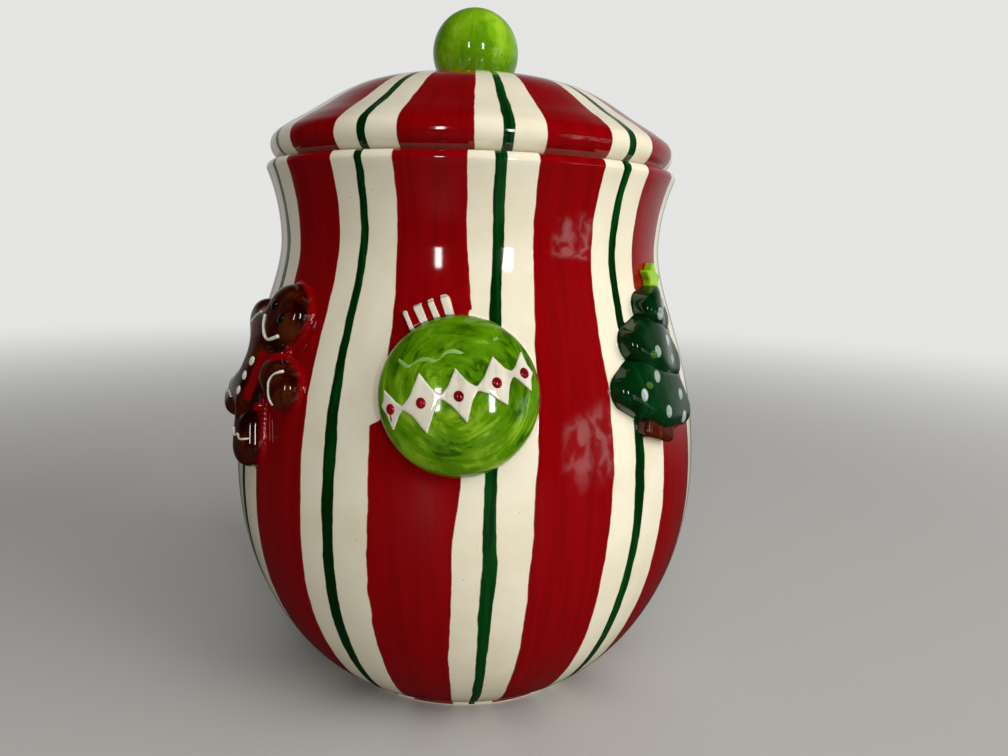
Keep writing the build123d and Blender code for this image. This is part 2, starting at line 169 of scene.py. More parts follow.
def touch(piece, place, spot):
    """Point and normal where a straight line in from a spot first meets a piece."""
    plane = facing(place)
    start = plane @ Vector((spot[0] * MM, spot[1] * MM, OUTSIDE))
    inward = -(plane.to_3x3() @ Vector((0, 0, 1)))
    met, point, normal, _ = piece.ray_cast(start, inward)
    if not met:
        raise ValueError(f"nothing under {spot} on {piece.name}")
    return point, normal


def smooth_route(route, per_leg=9):
    """Even points along a soft line through a route's corners."""
    spots = []
    padded = [route[0], *route, route[-1]]
    for before, start, end, after in zip(padded, padded[1:], padded[2:], padded[3:]):
        for index in range(per_leg):
            t = index / per_leg
            spots.append(tuple(
                0.5 * (2 * s + (e - b) * t + (2 * b - 5 * s + 4 * e - a) * t * t
                       + (3 * s - b - 3 * e + a) * t**3)
                for b, s, e, a in zip(before, start, end, after)))
    spots.append(route[-1])
    return spots


# ---- points of a piece ----
def points_of(piece):
    """A piece's points, in metres."""
    return np.array([vertex.co for vertex in piece.data.vertices])


def seen_on(piece, place):
    """A piece's points on the plane that looks out at a figure, in millimetres."""
    back = facing(place).inverted()
    return np.array([back @ vertex.co for vertex in piece.data.vertices]) / MM


def move_points(piece, points):
    piece.data.vertices.foreach_set("co", points.astype(np.float32).ravel())
    piece.data.update()


def keep_for_paint(piece, name, values):
    """Store a number at each point of a piece, for its paint to follow."""
    layer = piece.data.attributes.new(name, "FLOAT", "POINT")
    layer.data.foreach_set("value", values.astype(np.float32))


def rise_of(points):
    """How far points stand out of the wall, in millimetres."""
    return np.hypot(points[:, 0], points[:, 1]) / MM - wall_radius(points[:, 2] / MM)


def from_routes(piece, place, routes):
    """How far each point of a piece is from routes on a figure, seen from the front."""
    spots = seen_on(piece, place)
    passed = [spot for route in routes for spot in smooth_route(route)]
    return np.array([np.hypot(spots[:, 0] - u, spots[:, 1] - v) for u, v in passed]).min(axis=0)


# ---- making meshes ----
def turned(name, outline, around=360.0, begin=90.0, steps=TURN_STEPS):
    """Piece turned about the jar's axis: one point is extruded along the outline, then spun."""
    deselect()
    bpy.ops.mesh.primitive_plane_add(size=MM, location=(0, 0, 0))
    piece = bpy.context.object
    piece.name = name
    draw_along(piece, [(x, 0, z) for x, z in outline])
    bpy.ops.mesh.select_all(action="SELECT")
    bpy.ops.mesh.spin(steps=steps, angle=math.radians(-around), center=(0, 0, 0), axis=(0, 0, 1))
    bpy.ops.mesh.select_all(action="SELECT")
    bpy.ops.mesh.remove_doubles(threshold=MERGE)
    bpy.ops.mesh.normals_make_consistent(inside=False)
    bpy.ops.object.mode_set(mode="OBJECT")
    piece.rotation_euler = (0, 0, math.radians(begin - 90.0))
    settle_place(piece)
    bpy.ops.object.shade_smooth_by_angle(angle=SMOOTH_BELOW)
    return piece


def draw_along(piece, corners):
    """Shrink a piece to one point and extrude that through corners. It stays in edit mode."""
    edit_all(piece)
    bpy.ops.mesh.merge(type="CENTER")
    bpy.ops.transform.translate(value=[value * MM for value in corners[0]])
    for here, there in zip(corners, corners[1:]):
        stride = [(end - start) * MM for start, end in zip(here, there)]
        bpy.ops.mesh.extrude_region_move(TRANSFORM_OT_translate={"value": stride})


def clay_copy(name, node):
    """Plain copy of a CAD node, with the facets' loose points merged."""
    pick(frame["nodes"][node])
    bpy.ops.object.duplicate()
    piece = bpy.context.object
    piece.name = name
    piece.parent = None
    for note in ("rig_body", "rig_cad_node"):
        del piece[note]
    piece.data.materials.clear()
    settle_place(piece)
    piece.rotation_mode = "XYZ"
    edit_all(piece)
    bpy.ops.mesh.remove_doubles(threshold=MERGE)
    bpy.ops.object.mode_set(mode="OBJECT")
    return piece


def bed_under(piece, margin=5.0, depth=3.0, rows=24, near_wall=95.0):
    """Patch of wall clay under a raised piece, for the piece to run out into. Its margin
    becomes an angle at a radius near the wall's."""
    points = points_of(piece) / MM
    low, high = points[:, 2].min() - margin, points[:, 2].max() + margin
    azimuth = np.degrees(np.arctan2(points[:, 0], -points[:, 1]))
    slack = math.degrees(margin / near_wall)
    left, right = azimuth.min() - slack, azimuth.max() + slack
    heights = np.linspace(low, min(high, WALL_Z[-1]), rows)
    line = [(float(wall_radius(height)) - depth / 2, float(height)) for height in heights]
    patch = turned("bed", line, right - left, left, rows)
    finish_with(patch, "SOLIDIFY", thickness=depth * MM, offset=0)
    return patch


def press_in(piece, place, routes, breadth, depth, least_rise=1.5):
    """Press soft grooves into a piece along routes, never as deep as the wall."""
    outward = np.array(facing(place).to_3x3() @ Vector((0, 0, 1)))
    points = points_of(piece)
    far = from_routes(piece, place, routes)
    room = np.maximum(rise_of(points) - least_rise, 0)
    push = np.minimum(depth * np.exp(-(far / breadth)**2), room)
    points -= outward * push[:, None] * MM
    move_points(piece, points)


def ease_down(piece, place, begin, end, share, cuts=3):
    """Lower a raised piece towards its right edge, to a share of its rise. Its facets are cut
    smaller first, so that they can bend."""
    edit_all(piece)
    bpy.ops.mesh.subdivide(number_cuts=cuts)
    bpy.ops.object.mode_set(mode="OBJECT")
    across = seen_on(piece, place)[:, 0]
    points = points_of(piece)
    radius = np.hypot(points[:, 0], points[:, 1])
    rise = np.maximum(radius - wall_radius(points[:, 2] / MM) * MM, 0)
    part = np.clip((across - begin) / (end - begin), 0, 1)
    lowered = rise * (1 - share) * part * part * (3 - 2 * part)
    points[:, :2] *= ((radius - lowered) / radius)[:, None]
    move_points(piece, points)


def sprig(part, grain, rounds, puff=0.0, grooves=None, eased=None, rounds_after=6):
    """Raised clay piece of the front, with soft edges that run out into the wall. It is melted
    to a grain and smoothed, and may be puffed up, grooved or eased down at one side."""
    piece = clay_copy("front_" + part + "_glazed", "front_" + part)
    if eased:
        ease_down(piece, *eased)
    if puff:
        finish_with(piece, "DISPLACE", strength=puff * MM, mid_level=0.0)
    patch = bed_under(piece)
    deselect()
    patch.select_set(True)
    piece.select_set(True)
    bpy.context.view_layer.objects.active = piece
    bpy.ops.object.join()
    finish_with(piece, "REMESH", mode="VOXEL", voxel_size=grain * MM)
    finish_with(piece, "SMOOTH", factor=SOFTENING, iterations=rounds)
    if grooves:
        press_in(piece, *grooves)
        finish_with(piece, "SMOOTH", factor=SOFTENING, iterations=rounds_after)
    finish_with(piece, "DISPLACE", strength=-SINK * MM, mid_level=0.0)
    keep_for_paint(piece, "rise", rise_of(points_of(piece)))
    pick(piece)
    bpy.ops.object.shade_smooth()
    return piece


TAPER = 5                 # a squeezed line's end is one part in this many of its length
TIP = 0.3                 # breadth of its very tip, as a share
UNEVEN = 0.10             # how much a hand lets its breadth vary, as a share
UNEVEN_WAVES = 17         # radians of that variation along the line


def piped(name, piece, place, routes, width, ends=(1.35, 1.35), lift=0.18):
    """Lines of glaze squeezed onto a piece: each has its own breadth at its two ends, as shares
    of the width, and its middle stands off the surface by a share of the width."""
    lines = []
    for route in routes:
        spots = smooth_route(route)
        deselect()
        bpy.ops.curve.primitive_nurbs_path_add(location=(0, 0, 0))
        line = bpy.context.object
        curve = line.data
        curve.splines.clear()
        spline = curve.splines.new("POLY")
        spline.points.add(len(spots) - 1)
        for index, spot in enumerate(spots):
            point, normal = touch(piece, place, spot)
            share = index / (len(spots) - 1)
            begin = max(0.0, 1 - share * TAPER)
            end = max(0.0, 1 - (1 - share) * TAPER)
            uneven = UNEVEN * math.sin(UNEVEN_WAVES * share)
            breadth = 1 + begin * (ends[0] - 1) + end * (ends[1] - 1) + uneven
            tip = TIP if index in (0, len(spots) - 1) else 1.0
            spline.points[index].co = (*(point + normal * width * lift * MM), 1)
            spline.points[index].radius = tip * breadth
        curve.dimensions = "3D"
        curve.bevel_depth = width / 2 * MM
        curve.bevel_resolution = 4
        curve.use_fill_caps = True
        bpy.ops.object.convert(target="MESH")
        lines.append(bpy.context.object)
    return joined(name, lines)


def joined(name, parts):
    """Several meshes made one piece."""
    deselect()
    for part in parts:
        part.select_set(True)
    bpy.context.view_layer.objects.active = parts[0]
    if len(parts) > 1:
        bpy.ops.object.join()
    piece = bpy.context.object
    piece.name = name
    settle_place(piece)
    edit_all(piece)
    bpy.ops.mesh.normals_make_consistent(inside=False)
    bpy.ops.object.mode_set(mode="OBJECT")
    bpy.ops.object.shade_smooth()
    return piece


INLAY_CUTS = 15           # cuts across a patch, so that it can follow the piece under it
INLAY_OUTWARD = 0.3       # more of a patch's thickness lies outside the surface than inside


def inlay(name, piece, place, patches, thick, grain, rounds):
    """Thin patches on a piece. Each is drawn corner by corner, cut into small squares, let down
    onto the piece and given a thickness. Then all are melted into one."""
    made = []
    for corners in patches:
        deselect()
        bpy.ops.mesh.primitive_plane_add(size=MM, location=(0, 0, 0))
        patch = bpy.context.object
        draw_along(patch, [(x, y, 0) for x, y in corners])
        bpy.ops.mesh.select_all(action="SELECT")
        bpy.ops.mesh.edge_face_add()
        bpy.ops.mesh.subdivide(number_cuts=INLAY_CUTS)
        bpy.ops.object.mode_set(mode="OBJECT")
        looks_out = 1 if patch.data.polygons[0].normal.z > 0 else -1
        patch.matrix_world = facing(place) @ Matrix.Translation((0, 0, OUTSIDE))
        finish_with(patch, "SHRINKWRAP", target=piece, wrap_method="PROJECT", use_project_z=True,
                    use_positive_direction=False, use_negative_direction=True)
        settle_place(patch)
        finish_with(patch, "SOLIDIFY", thickness=thick * MM, offset=INLAY_OUTWARD * looks_out)
        made.append(patch)
    whole = joined(name, made)
    finish_with(whole, "REMESH", mode="VOXEL", voxel_size=grain * MM)
    finish_with(whole, "SMOOTH", factor=SOFTENING, iterations=rounds)
    pick(whole)
    bpy.ops.object.shade_smooth()
    return whole


def waisted(corners, tall_and_narrow=(0.78, 1.0), broad_and_low=(1.0, 0.70)):
    """Two diamonds in place of one. Together they have sides that are drawn in a little."""
    middle = [sum(corner[axis] for corner in corners) / len(corners) for axis in (0, 1)]
    made = []
    for across, upright in (tall_and_narrow, broad_and_low):
        shares = (across, upright, across, upright)
        made.append([tuple(m + share * (c - m) for m, c in zip(middle, corner))
                     for share, corner in zip(shares, corners)])
    return made


FLATTENED = 0.5           # height of a drop of glaze, as a share of its breadth


def beads(name, place, drops, size, sunk=0.35):
    """Drops of glaze, each flattened against the piece that it is set on. A drop is its piece,
    its spot, and how much longer than broad it is."""
    made = []
    for piece, spot, stretch in drops:
        point, normal = touch(piece, place, spot)
        deselect()
        bpy.ops.mesh.primitive_uv_sphere_add(segments=24, ring_count=14, radius=size * MM)
        drop = bpy.context.object
        edit_all(drop)
        bpy.ops.transform.resize(value=(1.0, stretch, FLATTENED))
        bpy.ops.object.mode_set(mode="OBJECT")
        up = facing(place).to_3x3() @ Vector((0, 1, 0))
        side = up.cross(normal).normalized()
        axes = Matrix((side, normal.cross(side), normal)).transposed().to_4x4()
        centre = point + normal * size * (0.5 - sunk) * FLATTENED * MM
        drop.matrix_world = Matrix.Translation(centre) @ axes
        settle_place(drop)
        made.append(drop)
    return joined(name, made)


def opposite(piece, name):
    """Copy of a piece on the other side of the jar, with its own mesh."""
    pick(piece)
    bpy.ops.object.duplicate()
    twin = bpy.context.object
    twin.name = name
    twin.rotation_mode = "XYZ"
    twin.rotation_euler = (0, 0, math.pi)
    settle_place(twin)
    return twin


# ---- nodes of the finishes ----
def new_node(tree, kind, **settings):
    node = tree.nodes.new("ShaderNode" + kind)
    for setting, value in settings.items():
        setattr(node, setting, value)
    return node


def feed(tree, socket, value):
    """Set an input to a plain value, or link it from an output."""
    if isinstance(value, bpy.types.NodeSocket):
        tree.links.new(value, socket)
    else:
        socket.default_value = value


def maths(tree, operation, *values):
    node = new_node(tree, "Math", operation=operation)
    for socket, value in zip(node.inputs, values):
        feed(tree, socket, value)
    return node.outputs[0]


def scaled(tree, value, factor, offset=0.0):
    """A value times a factor, plus an offset."""
    return maths(tree, "MULTIPLY_ADD", value, factor, offset)


def product(tree, first, *others):
    for other in others:
        first = maths(tree, "MULTIPLY", first, other)
    return first


def total(tree, first, *others):
    for other in others:
        first = maths(tree, "ADD", first, other)
    return first


def length_of(tree, across, along):
    """Length of a line with these two sides."""
    squares = total(tree, product(tree, across, across), product(tree, along, along))
    return maths(tree, "SQRT", squares)


def layered(tree, share, under, over):
    """One colour laid over another by a share."""
    node = new_node(tree, "Mix", data_type="RGBA")
    feed(tree, node.inputs[0], share)
    feed(tree, node.inputs[6], under)
    feed(tree, node.inputs[7], over)
    return node.outputs[2]


def stepped(tree, value, low, high, to_low=0.0, to_high=1.0):
    """Soft step of a value between two limits."""
    node = new_node(tree, "MapRange", interpolation_type="SMOOTHSTEP")
    for socket, given in zip(node.inputs, (value, low, high, to_low, to_high)):
        feed(tree, socket, given)
    return node.outputs[0]


def between(tree, value, gone_below, full_from, full_to, gone_above):
    """1 between two limits, with a soft fall to 0 on either side."""
    return product(tree, stepped(tree, value, gone_below, full_from),
                   stepped(tree, value, gone_above, full_to))


def near(tree, value, middle, full_within, gone_beyond):
    """1 close to a middle, with a soft fall to 0 further from it."""
    far = maths(tree, "ABSOLUTE", maths(tree, "SUBTRACT", value, middle))
    return stepped(tree, far, gone_beyond, full_within)


def cloudy(tree, place, scale, detail=2.0, roughness=0.5, distortion=0.0):
    node = new_node(tree, "TexNoise")
    feed(tree, node.inputs["Vector"], place)
    node.inputs["Scale"].default_value = scale
    node.inputs["Detail"].default_value = detail
    node.inputs["Roughness"].default_value = roughness
    node.inputs["Distortion"].default_value = distortion
    return node.outputs[0]


def split_up(tree, vector):
    """The three numbers of a vector."""
    node = new_node(tree, "SeparateXYZ")
    feed(tree, node.inputs[0], vector)
    return node.outputs


def put_together(tree, *numbers):
    """A vector from three numbers."""
    node = new_node(tree, "CombineXYZ")
    for socket, number in zip(node.inputs, numbers):
        feed(tree, socket, number)
    return node.outputs[0]


def new_group(name, outputs):
    """Empty shader group that is given a place, with its named outputs."""
    group = bpy.data.node_groups.new(name, "ShaderNodeTree")
    group.interface.new_socket("Place", in_out="INPUT", socket_type="NodeSocketVector")
    for socket, kind in outputs.items():
        group.interface.new_socket(socket, in_out="OUTPUT", socket_type="NodeSocket" + kind)
    place = group.nodes.new("NodeGroupInput").outputs["Place"]
    return group, place, group.nodes.new("NodeGroupOutput").inputs


def use_group(tree, group, place):
    node = new_node(tree, "Group", node_tree=group)
    feed(tree, node.inputs["Place"], place)
    return node.outputs


def azimuth_of(tree, x, y):
    """Angle round the jar from its front, in radians."""
    return maths(tree, "ARCTAN2", x, product(tree, y, -1.0))


# ---- paint ----
STREAKS_ROUND = 20.0      # how quickly brush marks change round the jar, a radian
STREAKS_ALONG = 12.0      # with height less radius, which follows a slope, a metre
STREAKS_UP = 3.0          # and with height alone, a metre


def brush_marks():
    """Streaks left by a brush that was drawn along the jar's height."""
    group, place, out = new_group("brush marks", {"Streak": "Float", "Blotch": "Float"})
    x, y, height = split_up(group, place)
    along = maths(group, "SUBTRACT", height, length_of(group, x, y))
    stretched = put_together(group, product(group, azimuth_of(group, x, y), STREAKS_ROUND),
                             product(group, along, STREAKS_ALONG), product(group, height, STREAKS_UP))
    feed(group, out["Streak"], cloudy(group, stretched, 1.6, 4.0, 0.55, 0.4))
    feed(group, out["Blotch"], cloudy(group, place, 34.0, 3.0, 0.6))
    return group


STROKES_TURNING = 0.9     # how much a stroke changes on its way round the bauble
STROKES_OUTWARD = 190.0   # and from one stroke to the next


def round_strokes():
    """Strokes of a brush that went round the bauble, on the front and on the back."""
    group, place, out = new_group("round strokes", {"Streak": "Float"})
    x, y, z = split_up(group, place)
    to_right = product(group, x, maths(group, "SIGN", y), -1.0)
    across = maths(group, "SUBTRACT", to_right, BALL_MIDDLE[0] * MM)
    above = maths(group, "SUBTRACT", z, BALL_MIDDLE[1] * MM)
    angle = maths(group, "ARCTAN2", above, across)
    drawn = put_together(group, product(group, maths(group, "COSINE", angle), STROKES_TURNING),
                         product(group, maths(group, "SINE", angle), STROKES_TURNING),
                         product(group, length_of(group, across, above), STROKES_OUTWARD))
    feed(group, out["Streak"], cloudy(group, drawn, 1.2, 4.0, 0.6, 1.4))
    return group


QUICK_RIPPLE = 0.14       # height of the fine pits, as a share of the slow ripple


def glaze_skin():
    """Slow ripple and fine pits of a thick glaze, as a height."""
    group, place, out = new_group("glaze skin", {"Height": "Float"})
    slow = cloudy(group, place, 38.0, 1.0, 0.4)
    quick = cloudy(group, place, 150.0, 1.0, 0.4)
    feed(group, out["Height"], total(group, slow, product(group, quick, QUICK_RIPPLE)))
    return group


RED = (0.205, 0.0004, 0.0015, 1)
RED_DEEP = (0.170, 0.0003, 0.0010, 1)
RED_THIN = (0.30, 0.009, 0.011, 1)
IVORY = (0.70, 0.645, 0.50, 1)
IVORY_WARM = (0.66, 0.59, 0.43, 1)
GREEN_LINE = (0.0002, 0.015, 0.0008, 1)
GREEN_LINE_THIN = (0.0008, 0.042, 0.004, 1)
SPECK = (0.16, 0.12, 0.08, 1)

# Stripes. Breadths and steps round the jar are shares of the way from one red band to the next.
BANDS = 11
RED_MIDDLE, RED_HALF, RED_UNEVEN = 0.70, 0.256, 0.03
GREEN_MIDDLE, GREEN_HALF, GREEN_UNEVEN = 0.18, 0.040, 0.030
PAINT_EDGE = 0.0035       # softness of a painted edge
CROWDING = -0.04          # stripes stand closer together on one side
WANDER, SHIVER = 0.10, 0.030      # how far a stripe strays slowly, and how far its edge trembles
LEAN, LEAN_FROM = -0.30, 0.22     # stripes lean by this much a metre, from this height
LID_STEP, LID_CROWDING = -0.044, -0.075   # how far the lid's stripes are out of step
ON_LID = SEAT_Z * MM - 0.0001
# The red band behind the bauble swells at its right edge and is notched at its left one.
SWELL, SWELL_AZIMUTH = 0.055, (math.radians(-4), 0.07, 0.14)
SWELL_HEIGHT = (BAUBLE[1] * MM, 0.030, 0.060)
NOTCH, NOTCH_AZIMUTH = 0.070, (math.radians(-21), 0.12, 0.15)
NOTCH_HEIGHT = (0.1340, 0.1370, 0.156, 0.208)
FRINGE, FRINGE_SHARE = 0.014, 0.45        # thinner red along a band's edge
SPECK_SHARE = 0.4


def striped_paint(brush):
    """Ivory ground with broad red bands and a green line between each two. The lid carries its
    own set, a little out of step with the body's."""
    group, place, out = new_group("striped paint", {"Color": "Color", "Thick": "Float", "Red": "Float"})
    x, y, height = split_up(group, place)
    azimuth = azimuth_of(group, x, y)
    across = maths(group, "SINE", azimuth)
    on_lid = maths(group, "GREATER_THAN", height, ON_LID)
    phase = total(
        group, product(group, azimuth, BANDS / (2 * math.pi)), product(group, across, CROWDING),
        scaled(group, cloudy(group, place, 13.0, 1.0, 0.4), WANDER, -0.5 * WANDER),
        scaled(group, cloudy(group, place, 90.0, 2.0, 0.5), SHIVER, -0.5 * SHIVER),
        scaled(group, height, LEAN, -LEAN_FROM * LEAN),
        product(group, on_lid, scaled(group, across, LID_CROWDING, LID_STEP)))

    def from_middle(middle):
        shifted = maths(group, "SUBTRACT", phase, middle)
        return maths(group, "ABSOLUTE", maths(group, "SUBTRACT", shifted, maths(group, "ROUND", shifted)))

    breadth = maths(group, "SUBTRACT", cloudy(group, place, 20.0, 1.0, 0.4), 0.5)
    swell = product(group, near(group, azimuth, *SWELL_AZIMUTH), near(group, height, *SWELL_HEIGHT))
    notch = product(group, near(group, azimuth, *NOTCH_AZIMUTH), between(group, height, *NOTCH_HEIGHT))
    red_half = total(group, scaled(group, breadth, RED_UNEVEN, RED_HALF),
                     product(group, swell, SWELL), product(group, notch, -NOTCH))
    green_half = scaled(group, breadth, GREEN_UNEVEN, GREEN_HALF)
    band_depth = maths(group, "SUBTRACT", red_half, from_middle(RED_MIDDLE))
    line_depth = maths(group, "SUBTRACT", green_half, from_middle(GREEN_MIDDLE))
    band = stepped(group, band_depth, -PAINT_EDGE, PAINT_EDGE)
    line = stepped(group, line_depth, -PAINT_EDGE, PAINT_EDGE)

    marks = use_group(group, brush, place)
    streak, blotch = marks["Streak"], marks["Blotch"]
    red = layered(group, stepped(group, streak, 0.36, 0.62), RED_DEEP, RED)
    fringe = product(group, stepped(group, band_depth, FRINGE, 0.0),
                     stepped(group, streak, 0.45, 0.62), FRINGE_SHARE)
    red = layered(group, fringe, red, RED_THIN)
    green = layered(group, stepped(group, streak, 0.42, 0.66), GREEN_LINE, GREEN_LINE_THIN)

    ground = layered(group, stepped(group, blotch, 0.40, 0.72), IVORY, IVORY_WARM)
    grains = new_node(group, "TexVoronoi", feature="F1")
    feed(group, grains.inputs["Vector"], place)
    grains.inputs["Scale"].default_value = 260.0
    speck = product(group, stepped(group, grains.outputs["Distance"], 0.12, 0.06),
                    stepped(group, cloudy(group, place, 60.0), 0.58, 0.64), SPECK_SHARE)
    ground = layered(group, speck, ground, SPECK)

    feed(group, out["Color"], layered(group, band, layered(group, line, ground, green), red))
    feed(group, out["Thick"], maths(group, "MAXIMUM", band, line))
    feed(group, out["Red"], band)
    return group


GLAZE_IOR = 1.5
RIPPLE = 0.30             # strength of the glaze's ripple
RIPPLE_HEIGHT = 0.0012    # in metres
PAINT_HEIGHT = 0.10       # paint stands up by this share of the ripple


def glossy(name, skin, colour_of, roughness=0.07):
    """Glossy glaze: colour_of(tree, place) gives its colour, and perhaps a raised edge of paint."""
    material = bpy.data.materials.new(name)
    material.use_nodes = True
    tree = material.node_tree
    shader = tree.nodes["Principled BSDF"]
    place = new_node(tree, "TexCoord").outputs["Object"]
    colour, paint = colour_of(tree, place)
    feed(tree, shader.inputs["Base Color"], colour)
    shader.inputs["Roughness"].default_value = roughness
    shader.inputs["IOR"].default_value = GLAZE_IOR
    height = use_group(tree, skin, place)["Height"]
    if paint is not None:
        height = total(tree, height, product(tree, paint, PAINT_HEIGHT))
    bump = new_node(tree, "Bump")
    bump.inputs["Strength"].default_value = RIPPLE
    bump.inputs["Distance"].default_value = RIPPLE_HEIGHT
    feed(tree, bump.inputs["Height"], height)
    feed(tree, shader.inputs["Normal"], bump.outputs["Normal"])
    return material


def mottled(dark, middle, pale, scale, marks, low=0.36, high=0.66, brushed=0.5):
    """Colour of a glaze from dark through middle to pale, partly clouded and partly brushed.
    The three colours are red, green and blue."""
    dark, middle, pale = ((*colour[:3], 1) for colour in (dark, middle, pale))

    def colour_of(tree, place):
        cloud = cloudy(tree, place, scale, 4.0, 0.6, 0.6)
        streak = use_group(tree, marks, place)["Streak"]
        mixed = total(tree, product(tree, cloud, 1 - brushed), product(tree, streak, brushed))
        colour = layered(tree, stepped(tree, mixed, low, 0.5), dark, middle)
        return layered(tree, stepped(tree, mixed, 0.5, high), colour, pale), None
    return colour_of


EDGE_WAVER = 0.4          # a glaze's lower edge wavers over this much rise, in millimetres
POOLED = (0.15, 0.75)     # a pool starts to show at the first, and hides what is under it at the second


def over_wall(colour_of, stripes, start=0.45, soft=0.15, pooled=(0.45, 0.15)):
    """A figure's own glaze, which ends where the piece runs out into the striped wall: at a rise
    in millimetres, over a soft edge. Over a red band it may end more softly, where red glaze has
    pooled."""
    def both(tree, place):
        colour = colour_of(tree, place)[0]
        wall = use_group(tree, stripes, place)
        rise = new_node(tree, "Attribute", attribute_name="rise").outputs["Fac"]
        waver = scaled(tree, cloudy(tree, place, 160.0), EDGE_WAVER, -0.5 * EDGE_WAVER)
        rise = total(tree, rise, waver)
        crisp = stepped(tree, rise, start, start + soft)
        blended = stepped(tree, rise, pooled[0], pooled[0] + pooled[1])
        red = wall["Red"]
        share = total(tree, product(tree, blended, red),
                      product(tree, crisp, maths(tree, "SUBTRACT", 1.0, red)))
        pool = new_node(tree, "Attribute", attribute_name="pool").outputs["Fac"]
        colour = layered(tree, stepped(tree, pool, *POOLED), colour, RED_DEEP)
        return layered(tree, share, wall["Color"], colour), None
    return both


# ---- body ----
def body_outline():
    """Half section of the body: foot, outside, lip, inside and floor."""
    lip = rounded((87.7, 227.8), 3.2, 5.0, 90.0, 7)
    mouth = rounded((80.6, 229.4), 1.6, 90.0, 180.0, 5)
    inside = swept((79.0, 199.0), (79.0, 177.0), (100.1, 149.0), (100.1, 97.0), 30)
    bottom = swept((100.1, 97.0), (100.1, 47.0), (75.0, 19.5), (55.6, 9.0), 24)
    foot = [(0.0, 2.5), (49.1, 2.5), (50.6, 1.4), (51.6, 0.0), (59.9, 0.0), (60.5, 0.9)]
    return foot + WALL + lip + mouth + inside + bottom[1:] + [(0.0, 9.0)]


def lid_outline():
    """Half section of the lid: rolled edge, dome, vent, underside and flange with its groove."""
    roll = swept((85.1, SEAT_Z), (87.7, 232.6), (89.9, 236.0), (88.9, 239.4), 8)
    roll += swept((88.9, 239.4), (88.2, 241.9), (86.4, 243.0), (84.2, 244.5), 7)[1:]
    dome = swept((84.2, 244.5), (80.8, 246.9), (79.4, 247.6), (76.6, 249.3), 6)[1:]
    dome += swept((76.6, 249.3), (69.8, 253.4), (63.4, 258.6), (55.6, 262.3), 12)[1:]
    dome += swept((55.6, 262.3), (43.5, 268.0), (28.0, 268.9), (14.91, PAD_Z), 16)[1:]
    under = swept((14.91, 264.0), (28.0, 263.4), (38.0, 262.3), (50.1, 256.8), 12)
    under += swept((50.1, 256.8), (58.0, 253.1), (65.0, 247.3), (71.1, 243.8), 8)[1:]
    flange = [(70.0, SEAT_Z), (70.0, 219.1)] + rounded((71.8, 219.1), 1.8, 180.0, 270.0, 5)[1:]
    flange += rounded((74.2, 219.1), 1.8, 270.0, 360.0, 5) + [(76.0, 221.3), (73.8, 221.3)]
    flange += [(73.8, 227.3), (76.0, 227.3), (76.0, SEAT_Z)]
    vent = [(VENT_R, PAD_Z), (VENT_R, 264.0)]
    return [(76.0, SEAT_Z)] + roll + dome + vent + under + flange


def knob_outline():
    """Half section of the hollow knob, which is open below."""
    drop = KNOB_Z - PAD_Z
    outer = rounded((0.0, KNOB_Z), KNOB_R, -math.degrees(math.asin(drop / KNOB_R)), 90.0, 30)
    inner = rounded((0.0, KNOB_Z), KNOB_INSIDE, 90.0, -math.degrees(math.asin(drop / KNOB_INSIDE)), 20)
    return [inner[-1]] + outer[:-1] + [(0.0, KNOB_Z + KNOB_R), (0.0, KNOB_Z + KNOB_INSIDE)] + inner[1:]


glazed_body = turned("glazed_body", body_outline())
glazed_lid = turned("glazed_lid", lid_outline())
brushed_knob = turned("brushed_knob", knob_outline())

# ---- figures on the front ----
# Each clay part: grain, rounds of smoothing, puff, grooves, and where and how it is eased down
CREASES = [[(3.0, 8.0), (4.0, 1.0), (3.5, -8.0), (5.0, -14.0)],
           [(4.0, 9.5), (12.0, 13.5), (19.0, 17.5)],
           [(5.5, -13.0), (12.4, -9.8), (19.0, -6.5)]]
CLAY = {
    "bauble_ball": (0.6, 8, 0.0, None, None),
    "bauble_cap": (0.40, 9, 0.0, None, None),
    "tree_star": (0.30, 5, 0.2, None, None),
    "tree_upper_tier": (0.45, 40, 0.5, None, (TREE, -5.0, 11.0, 0.42)),
    "tree_middle_tier": (0.45, 46, 0.6, None, (TREE, -4.0, 17.0, 0.45)),
    "tree_lower_tier": (0.45, 52, 0.6, None, (TREE, 2.0, 23.0, 0.82)),
    "tree_trunk": (0.40, 8, 0.0, None, None),
    "gingerbread_figure": (0.6, 24, 0.4, (GINGERBREAD, CREASES, 2.8, 3.6), None)}
pieces = {part: sprig(part, *making) for part, making in CLAY.items()}
ball, figure = pieces["bauble_ball"], pieces["gingerbread_figure"]

# Red glaze that has run together beside and between the gingerbread figure's limbs
RED_POOLS = [[(-16.1, 12.9), (-12.5, 7.6)],
             [(1.6, 8.0), (2.4, 1.0), (2.2, -8.6), (3.0, -11.0)],
             [(2.8, 6.6), (12.2, 13.4), (20.0, 18.6)],
             [(9.0, -11.6), (12.4, -9.8), (19.0, -6.2)]]
POOL_BREADTH = 1.6
keep_for_paint(figure, "pool", np.exp(-(from_routes(figure, GINGERBREAD, RED_POOLS) / POOL_BREADTH)**2))

